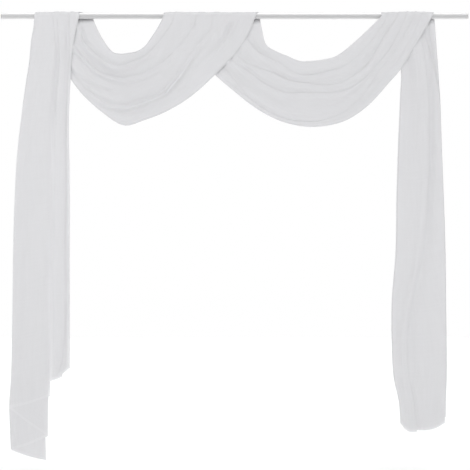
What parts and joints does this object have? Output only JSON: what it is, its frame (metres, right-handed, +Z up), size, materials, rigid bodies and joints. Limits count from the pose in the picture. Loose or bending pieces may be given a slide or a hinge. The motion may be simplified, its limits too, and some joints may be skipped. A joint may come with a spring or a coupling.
{
  "type": "sheer voile window scarf on a plain rod",
  "caption": "Sheer white voile scarf draped over a slim white rod in swags, with long tails hanging at the ends; one pleated panel, hung as a curtain.",
  "frame": {"origin": "middle of the rod's left end face", "axes": "+X along the rod to the right, +Z up, the room side faces -Y"},
  "size_m": [2, 0.0768, 1.9219],
  "materials": {
    "voile": "sheer white voile, matt with a faint sheen",
    "rod_enamel": "glossy white enamel"
  },
  "bodies": {
    "root": {"voile_scarf": "voile", "rod": "rod_enamel"}
  },
  "joints": []
}
